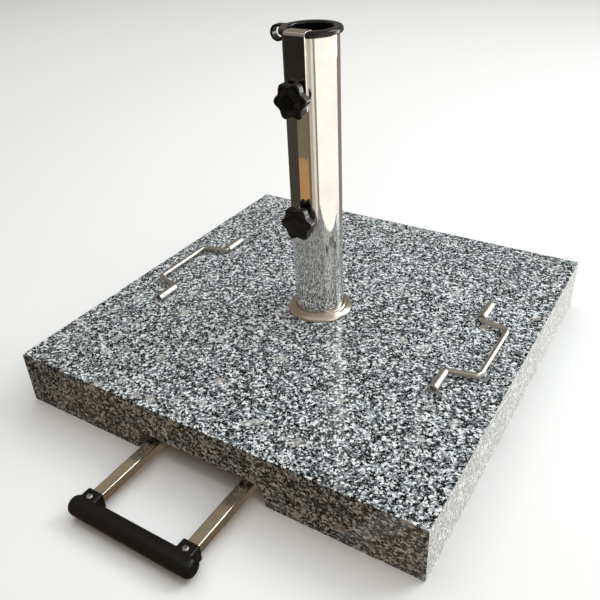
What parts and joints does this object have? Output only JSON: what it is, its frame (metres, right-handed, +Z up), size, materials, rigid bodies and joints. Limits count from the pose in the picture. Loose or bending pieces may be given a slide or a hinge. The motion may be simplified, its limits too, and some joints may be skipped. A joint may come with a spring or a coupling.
{
  "type": "parasol base",
  "caption": "Square granite parasol base with a clamping stand tube, folding carrying bails, a pull-out trolley handle and rear wheels.",
  "frame": {"origin": "middle of the pole seat, on the axis of the stand tube", "axes": "+Z up along the stand tube, -Y towards the trolley handle, +X to the right as seen from the handle"},
  "size_m": [0.5, 0.6205, 0.3939],
  "materials": {
    "granite": "polished salt and pepper granite",
    "polished_steel": "polished stainless steel",
    "satin_steel": "satin stainless steel",
    "zinc_steel": "zinc plated steel",
    "black_plastic": "black moulded plastic",
    "grey_plastic": "grey moulded plastic",
    "rubber": "black rubber"
  },
  "bodies": {
    "base": {"granite_slab": "granite", "stand_tube": "polished_steel", "flange_ring": "polished_steel", "clamp_strip": "satin_steel", "seat_plug": "zinc_steel", "anchor_bolt": "zinc_steel", "anchor_washer": "zinc_steel", "upper_boss": "zinc_steel", "lower_boss": "zinc_steel", "left_guide_tube": "zinc_steel", "right_guide_tube": "zinc_steel", "front_cross_plate": "zinc_steel", "rear_cross_plate": "zinc_steel", "reducer_collar": "black_plastic", "left_front_sleeve": "satin_steel", "left_front_washer": "zinc_steel", "left_front_nut": "zinc_steel", "left_rear_sleeve": "satin_steel", "left_rear_washer": "zinc_steel", "left_rear_nut": "zinc_steel", "left_guide_bush": "grey_plastic", "left_wheel_bracket": "zinc_steel", "left_bracket_screw": "zinc_steel", "left_axle": "zinc_steel", "right_front_sleeve": "satin_steel", "right_front_washer": "zinc_steel", "right_front_nut": "zinc_steel", "right_rear_sleeve": "satin_steel", "right_rear_washer": "zinc_steel", "right_rear_nut": "zinc_steel", "right_guide_bush": "grey_plastic", "right_wheel_bracket": "zinc_steel", "right_bracket_screw": "zinc_steel", "right_axle": "zinc_steel", "front_plate_screw_left": "zinc_steel", "front_plate_screw_right": "zinc_steel", "rear_plate_screw_left": "zinc_steel", "rear_plate_screw_right": "zinc_steel"},
    "trolley": {"trolley_grip": "black_plastic", "left_rail": "polished_steel", "right_rail": "polished_steel", "left_rail_slider": "grey_plastic", "right_rail_slider": "grey_plastic", "left_grip_screw": "zinc_steel", "right_grip_screw": "zinc_steel"},
    "left_bail": {"left_bail": "satin_steel"},
    "right_bail": {"right_bail": "satin_steel"},
    "upper_screw": {"upper_knob_stud": "zinc_steel"},
    "lower_screw": {"lower_knob_stud": "zinc_steel"},
    "upper_knob": {"upper_knob": "black_plastic", "upper_knob_cap": "black_plastic"},
    "lower_knob": {"lower_knob": "black_plastic", "lower_knob_cap": "black_plastic"},
    "left_wheel": {"left_wheel_hub": "grey_plastic", "left_wheel_tyre": "rubber"},
    "right_wheel": {"right_wheel_hub": "grey_plastic", "right_wheel_tyre": "rubber"}
  },
  "joints": [
    {"name": "trolley_slide", "type": "slide", "parent": "base", "child": "trolley", "axis": [0, -1, 0], "range_m": [-0.108, 0.233]},
    {"name": "left_bail_hinge", "type": "hinge", "parent": "base", "child": "left_bail", "pos_m": [-0.185, 0, -0.0057], "axis": [0, 1, 0], "range_deg": [0, 180]},
    {"name": "right_bail_hinge", "type": "hinge", "parent": "base", "child": "right_bail", "pos_m": [0.185, 0, -0.0057], "axis": [0, -1, 0], "range_deg": [0, 180]},
    {"name": "upper_screw_travel", "type": "slide", "parent": "base", "child": "upper_screw", "axis": [0, -1, 0], "range_m": [0, 0.0063]},
    {"name": "upper_knob_turn", "type": "hinge", "parent": "upper_screw", "child": "upper_knob", "pos_m": [0, -0.04, 0.253], "axis": [0, -1, 0], "range_deg": [0, 1800]},
    {"name": "lower_screw_travel", "type": "slide", "parent": "base", "child": "lower_screw", "axis": [0, -1, 0], "range_m": [0, 0.0063]},
    {"name": "lower_knob_turn", "type": "hinge", "parent": "lower_screw", "child": "lower_knob", "pos_m": [0, -0.04, 0.119], "axis": [0, -1, 0], "range_deg": [0, 1800]},
    {"name": "left_wheel_spin", "type": "hinge", "parent": "base", "child": "left_wheel", "pos_m": [-0.108, 0.242, -0.056], "axis": [1, 0, 0], "continuous": true},
    {"name": "right_wheel_spin", "type": "hinge", "parent": "base", "child": "right_wheel", "pos_m": [0.108, 0.242, -0.056], "axis": [1, 0, 0], "continuous": true}
  ],
  "couplings": [
    {"joint": "upper_screw_travel", "follows": "upper_knob_turn", "m_per_rad": 0.00019894},
    {"joint": "lower_screw_travel", "follows": "lower_knob_turn", "m_per_rad": 0.00019894}
  ]
}
